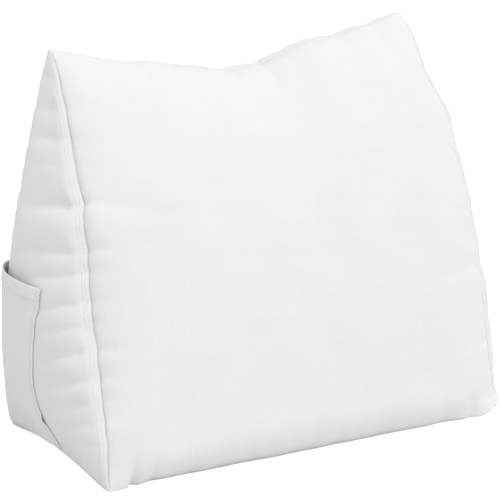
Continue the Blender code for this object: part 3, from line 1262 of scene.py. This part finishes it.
@dataclass
class TopStitching:
    """Twin rows of stitches round each end panel, on the turned seam."""

    form: WedgeForm
    relief: Relief
    thread: SewingThread
    stitch: Stitch = Stitch()
    samples: int = 1200
    base_run: tuple[float, float] = (0.02, 0.96)
    slant_run: tuple[float, float] = (0.015, 0.945)

    def rows(self) -> list[tuple[str, float]]:
        """Each row's seam and its distance from it."""
        return [(seam, off) for seam in ("front", "back", "base") for off in self.relief.stitch_rows]

    def row_points(self, side: Panel, seam: str, off: float) -> tuple[np.ndarray, np.ndarray]:
        """Points along one row, and the outward normals there.

        Args:
            side: the end that the row is on.
            seam: front, back or base.
            off: the row's distance from its seam.

        Returns:
            The points and the normals, one column for each.
        """
        fine = np.linspace(0.0, 1.0, self.samples)
        up, deep = self.relief.rulers[side, 2], self.relief.rulers[side, 1]
        if seam == "base":
            v = self.base_run[0] + self.base_run[1] * fine
            w = up.share_at(np.full_like(fine, off), v)
        else:
            w = self.slant_run[0] + self.slant_run[1] * fine
            v = deep.share_at(np.full_like(fine, off), w)
            v = v if seam == "front" else 1 - v
            clear = up.read(w, v) > off
            v, w = v[clear], w[clear]
        u = np.full_like(w, 0.0 if side is Panel.LEFT else 1.0)
        normals = self.form.end_normals(side, v, w)
        return self.form.surface(u, v, w) + normals * self.relief.height(side, u, v, w), normals

    def build(self, side: Panel) -> bpy.types.Object:
        """Sews the rows of one end panel.

        Args:
            side: Panel.LEFT or Panel.RIGHT.

        Returns:
            The stitches as one piece.
        """
        thread = bmesh.new()
        for seam, off in self.rows():
            points, normals = self.row_points(side, seam, off)
            self.stitch.sew_row(thread, points, normals, self.stitch.pitch)
        return finish_piece(f"stitching_{side.value}", thread, self.thread.material("thread"))


@dataclass
class PatchPocket:
    """The patch pocket on the left end: one sheet with a hemmed mouth and a turned front edge."""

    form: WedgeForm
    relief: Relief
    cloth: WovenCotton
    thread: SewingThread
    front_edge: tuple[tuple[float, float], ...] = (
        (0.016, 0.0800),
        (0.030, 0.0870),
        (0.040, 0.0945),
        (0.050, 0.1030),
        (0.062, 0.1100),
        (0.080, 0.1145),
        (0.110, 0.1145),
        (0.145, 0.1110),
        (0.180, 0.1060),
        (0.208, 0.1020),
    )
    mouth_height: float = 0.208
    seam_inset: float = 0.0025
    foot_lift: float = 1.5
    back_drop: float = 0.85
    thickness: float = 0.0013
    hem_thickness: float = 0.0023
    hem_depth: float = 0.018
    seat_gap: float = 0.0003
    ease: float = 0.0020
    stitch_inset: float = 0.006
    gape: float = 0.0058
    lip_lift: float = 0.0030
    lip_height: float = 0.150
    lip_width: float = 0.024
    mouth_lip: float = 0.35
    mouth_lip_width: float = 0.16
    gape_fullness: float = 1.2
    front_rise: float = 0.006
    mouth_slope: float = 0.0050
    turned_width: float = 0.008
    turned_share: float = 0.7
    layer_step: float = 0.0012
    loose_follow: float = 0.25
    front_follow: float = 0.16
    back_follow: float = 0.12
    width: float = 0.165
    length: float = 0.190
    columns: int = 44
    rows: int = 70
    rim: tuple[float, ...] = (0.0, 0.0004, 0.0010, 0.0020)
    side_rim: tuple[float, ...] = (0.0045, 0.0070, 0.0078, 0.0086)
    layers: tuple[float, ...] = (0.0, 0.08, 0.25, 0.5, 0.75, 0.92, 1.0)
    hem_line: float = 0.0008
    edge_radius: float = 0.0010
    edge_rounding: float = 0.85
    cloth_shift: float = 5.3
    cloth_width: float = 0.16
    stitch: Stitch = Stitch(radius=0.00030)
    stitch_samples: int = 900
    stitch_run: tuple[float, float] = (0.02, 0.985)
    line_clearance: float = 0.002
    fit_rounds: int = 14
    fit_margin: float = 0.002
    hem_stitch_inset: float = 0.0015

    def place(self, s: np.ndarray, t: np.ndarray) -> tuple[np.ndarray, np.ndarray]:
        """Lays the sheet's own places on the end panel.

        Args:
            s: places from front to back, 0 to 1.
            t: places from foot to mouth, 0 to 1.

        Returns:
            Depths from the front of the base, and heights above it.
        """
        lift = self.form.end_lift * self.foot_lift * (1 - self.back_drop * s**4)
        foot = lift + self.seam_inset + self.front_rise * (1 - s) ** 3
        mouth = self.mouth_height - self.mouth_slope * (1 - s) ** 2
        z = foot + t * (mouth - foot)
        w = z / self.form.height
        front = smooth_curve(self.front_edge, z)
        back = self.form.base_depth + (self.form.ridge_setback - self.form.base_depth) * w
        return front + s * (back - self.seam_inset - front), z

    def across(self, s: np.ndarray) -> tuple[np.ndarray, np.ndarray]:
        """Distances from the sheet's front edge and from its back edge, at its foot."""
        foot = self.form.base_depth - self.front_edge[0][1]
        return s * foot, (1 - s) * foot

    def on_end(
        self, y: np.ndarray, z: np.ndarray, follow: np.ndarray
    ) -> tuple[np.ndarray, np.ndarray]:
        """Points of the left end panel at given depths and heights, and the outward normals there.

        Args:
            y: depths from the front of the base.
            z: heights above the base.
            follow: how closely the sheet follows the puckers below it, 0 to 1.

        Returns:
            The points and the normals.
        """
        w, v = z / self.form.height, y / self.form.base_depth
        u = np.zeros_like(w)
        shift = np.array(self.form.origin_shift)
        low, high = self.fit_margin, 1 - self.fit_margin
        for _ in range(self.fit_rounds):
            found = self.form.surface(u, v, w, puckered=False)
            v = np.clip(v + (y + shift[1] - found[1]) / self.form.end_depth(w), low, high)
            w = np.clip(w + (z - found[2]) / self.form.height, low, high)
        normals = self.form.end_normals(Panel.LEFT, v, w, puckered=False)
        rise = (1 - follow) * np.maximum(self.relief.welt(Panel.LEFT, v, w), 0.0)
        rise = rise + follow * self.relief.height(Panel.LEFT, u, v, w)
        smooth = self.form.surface(u, v, w, puckered=False)
        puckers = self.form.surface(u, v, w) - smooth
        return smooth + follow * puckers + normals * rise, normals

    def gap(self, s: np.ndarray, t: np.ndarray) -> np.ndarray:
        """Clearance from the end panel: sewn at the front, eased, and open at the mouth.

        Args:
            s: places from front to back, 0 to 1.
            t: places from foot to mouth, 0 to 1.

        Returns:
            The clearances.
        """
        from_front, from_back = self.across(s)
        from_seam = np.minimum(from_front - self.stitch_inset, from_back)
        sewn = bell(np.maximum(from_seam, 0), self.stitch_inset)
        lip = bell(t - self.lip_height, self.lip_width)
        lip = lip + self.mouth_lip * bell(t - 1.0, self.mouth_lip_width)
        lip = self.lip_lift * lip * fade(from_front, 2.0 * self.stitch_inset)
        gape = self.gape * np.sin(np.pi * s) ** self.gape_fullness * t**2
        return self.ease + (self.seat_gap - self.ease) * sewn + lip + gape

    def sheet_thickness(self, s: np.ndarray, t: np.ndarray) -> np.ndarray:
        """Thickness of the sheet: two layers at the front edge and three in the hem.

        Args:
            s: places from front to back, 0 to 1.
            t: places from foot to mouth, 0 to 1.

        Returns:
            The thicknesses.
        """
        from_mouth = (1 - t) * self.mouth_height
        from_front, _ = self.across(s)
        hem = np.clip((self.hem_depth - from_mouth) / self.layer_step, 0, 1)
        turned = np.clip((self.turned_width - from_front) / self.layer_step, 0, 1)
        added = np.maximum(hem, self.turned_share * turned)
        return self.thickness + (self.hem_thickness - self.thickness) * added

    def points(self, outer: np.ndarray, s: np.ndarray, t: np.ndarray) -> np.ndarray:
        """Points of the sheet.

        Args:
            outer: 0 on the inner face and 1 on the outer face.
            s: places from front to back, 0 to 1.
            t: places from foot to mouth, 0 to 1.

        Returns:
            The points, one row for each axis.
        """
        near_edge = np.maximum(bell(s, self.front_follow), bell(1 - s, self.back_follow))
        follow = self.loose_follow + (1 - self.loose_follow) * near_edge
        found, normals = self.on_end(*self.place(s, t), follow)
        return found + normals * (self.gap(s, t) + self.sheet_thickness(s, t) * outer)

    def build(self) -> bpy.types.Object:
        """Returns:
            The sheet.
        """
        deep = stations(self.rim + self.side_rim, self.width, self.width / self.columns)
        tall = stations(self.rim, self.length, self.length / self.rows)
        lines = [self.hem_depth - k * self.hem_line for k in (-1, 0, 1, 2)]
        hem = [1 - line / self.mouth_height for line in lines]
        clear = [
            place for place in tall if min(abs(place - line) for line in hem) > self.line_clearance
        ]
        block, _ = LatticeBlock(list(self.layers), deep, sorted(clear + hem)).build()
        block.verts.index_update()
        outer, s, t = places_of(block)
        cloth = block.loops.layers.uv.new("cloth")
        for face in block.faces:
            for loop in face.loops:
                k = loop.vert.index
                loop[cloth].uv = (self.cloth_shift + s[k] * self.cloth_width, t[k] * self.length)
        edge = np.minimum(np.minimum(s, 1 - s) * self.width, np.minimum(t, 1 - t) * self.length)
        inset = 1 - np.sqrt(np.clip(edge / self.edge_radius, 0, 1))
        move_points(block, self.points(outer + (0.5 - outer) * inset * self.edge_rounding, s, t))
        bmesh.ops.recalc_face_normals(block, faces=block.faces)
        piece = finish_piece("pocket_sheet", block, self.cloth.material("pocket_cotton"))
        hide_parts("pocket")
        return piece

    def build_stitching(self) -> bpy.types.Object:
        """Sews the row along the front edge and the row that holds the hem.

        Returns:
            The stitches as one piece.
        """
        thread = bmesh.new()
        fine = np.linspace(*self.stitch_run, self.stitch_samples)
        inset = self.stitch_inset / (self.form.base_depth - self.front_edge[0][1])
        hem = 1 - (self.hem_depth - self.hem_stitch_inset) / self.mouth_height
        rows = ((np.full_like(fine, inset), fine), (fine, np.full_like(fine, hem)))
        for s, t in rows:
            _, normals = self.on_end(*self.place(s, t), 0.0 * s)
            line = self.points(np.ones_like(s), s, t)
            self.stitch.sew_row(thread, line, normals, self.stitch.pitch / 2)
        return finish_piece("stitching_pocket", thread, self.thread.material("pocket_thread"))


@dataclass(frozen=True)
class SoftLight:
    """One broad soft light: the direction it hangs in, its strength, and how many degrees wide it looks."""

    name: str
    towards: tuple[float, float, float]
    strength: float
    spread: float


@dataclass
class Studio:
    """A plain pale floor, soft light and the camera."""

    azimuth: float = -29.66
    elevation: float = 16.01
    focal_pixels: float = 2535.8
    distance: float = 2.8545
    target: tuple[float, float, float] = (-0.00804, -0.01223, 0.2065)
    frame_pixels: int = 500
    floor_colour: tuple[float, float, float, float] = (0.80, 0.80, 0.80, 1.0)
    floor_glow: float = 0.80
    bounced_colour: tuple[float, float, float, float] = (0.77, 0.77, 0.77, 1.0)
    floor_drop: float = 0.0004
    world_light: float = 0.77
    floor_size: float = 30.0
    floor_roughness: float = 0.95
    film_width: float = 36.0
    farthest: float = 50.0
    lights: tuple[SoftLight, ...] = (
        SoftLight("top_light", (0.05, -0.22, 0.97), 0.92, 30.0),
        SoftLight("front_light", (0.50, -0.84, 0.20), 0.62, 60.0),
    )

    def build_camera(self) -> bpy.types.Object:
        """Places the camera.

        Returns:
            The camera.
        """
        data = bpy.data.cameras.new("camera")
        data.sensor_width = self.film_width
        data.lens = self.focal_pixels * data.sensor_width / self.frame_pixels
        camera = bpy.data.objects.new("camera", data)
        bpy.context.scene.collection.objects.link(camera)
        turn, tilt = math.radians(self.azimuth), math.radians(self.elevation)
        back = Vector(
            (math.sin(turn) * math.cos(tilt), -math.cos(turn) * math.cos(tilt), math.sin(tilt))
        )
        camera.location = Vector(self.target) + back * self.distance
        camera.rotation_euler = (-back).to_track_quat("-Z", "Y").to_euler()
        data.clip_end = self.farthest
        bpy.context.scene.camera = camera
        return camera

    def build_floor(self) -> bpy.types.Object:
        """Lays the floor, which looks whiter to the camera than the light it sends back.

        Returns:
            The floor.
        """
        mesh = bmesh.new()
        bmesh.ops.create_grid(mesh, x_segments=1, y_segments=1, size=self.floor_size)
        data = bpy.data.meshes.new("floor")
        mesh.to_mesh(data)
        mesh.free()
        floor = bpy.data.objects.new("floor", data)
        floor.location = (0.0, 0.0, -self.floor_drop)
        bpy.context.scene.collection.objects.link(floor)
        paint = bpy.data.materials.new("white_floor")
        paint.use_nodes = True
        nodes, links = paint.node_tree.nodes, paint.node_tree.links
        seen = nodes["Principled BSDF"]
        seen.inputs["Base Color"].default_value = self.floor_colour
        seen.inputs["Roughness"].default_value = self.floor_roughness
        seen.inputs["Emission Color"].default_value = (1.0, 1.0, 1.0, 1.0)
        seen.inputs["Emission Strength"].default_value = self.floor_glow
        bounced = nodes.new("ShaderNodeBsdfDiffuse")
        bounced.inputs["Color"].default_value = self.bounced_colour
        path = nodes.new("ShaderNodeLightPath")
        mix = nodes.new("ShaderNodeMixShader")
        links.new(path.outputs["Is Camera Ray"], mix.inputs[0])
        links.new(bounced.outputs[0], mix.inputs[1])
        links.new(seen.outputs[0], mix.inputs[2])
        links.new(mix.outputs[0], nodes["Material Output"].inputs["Surface"])
        data.materials.append(paint)
        return floor

    def hang_light(self, light: SoftLight) -> None:
        """Hangs one light, far away.

        Args:
            light: the light.
        """
        data = bpy.data.lights.new(light.name, "SUN")
        data.energy = light.strength
        data.angle = math.radians(light.spread)
        lamp = bpy.data.objects.new(light.name, data)
        lamp.rotation_euler = (-Vector(light.towards)).to_track_quat("-Z", "Y").to_euler()
        bpy.context.scene.collection.objects.link(lamp)

    def build(self) -> None:
        """Sets up the whole studio."""
        self.build_camera()
        self.build_floor()
        world = bpy.data.worlds.new("studio")
        world.use_nodes = True
        shade = world.node_tree.nodes["Background"]
        shade.inputs["Color"].default_value = (1.0, 1.0, 1.0, 1.0)
        shade.inputs["Strength"].default_value = self.world_light
        bpy.context.scene.world = world
        bpy.context.scene.view_settings.view_transform = "Standard"
        for light in self.lights:
            self.hang_light(light)


def main() -> None:
    """Builds the cushion and its studio in order."""
    logging.basicConfig(level=logging.INFO, format="%(message)s")
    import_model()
    form = WedgeForm()
    relief = Relief(form)
    cloth, thread = WovenCotton(), SewingThread()
    cover = CushionCover(form, relief, cloth).build()
    log.info("cover: %d faces", len(cover.data.polygons))
    stitching = TopStitching(form, relief, thread)
    for side in (Panel.LEFT, Panel.RIGHT):
        sewn = stitching.build(side)
        log.info("%s: %d faces", sewn.name, len(sewn.data.polygons))
    pocket = PatchPocket(form, relief, cloth, thread)
    for piece in (pocket.build(), pocket.build_stitching()):
        log.info("%s: %d faces", piece.name, len(piece.data.polygons))
    Studio().build()


if __name__ == "__main__":
    main()
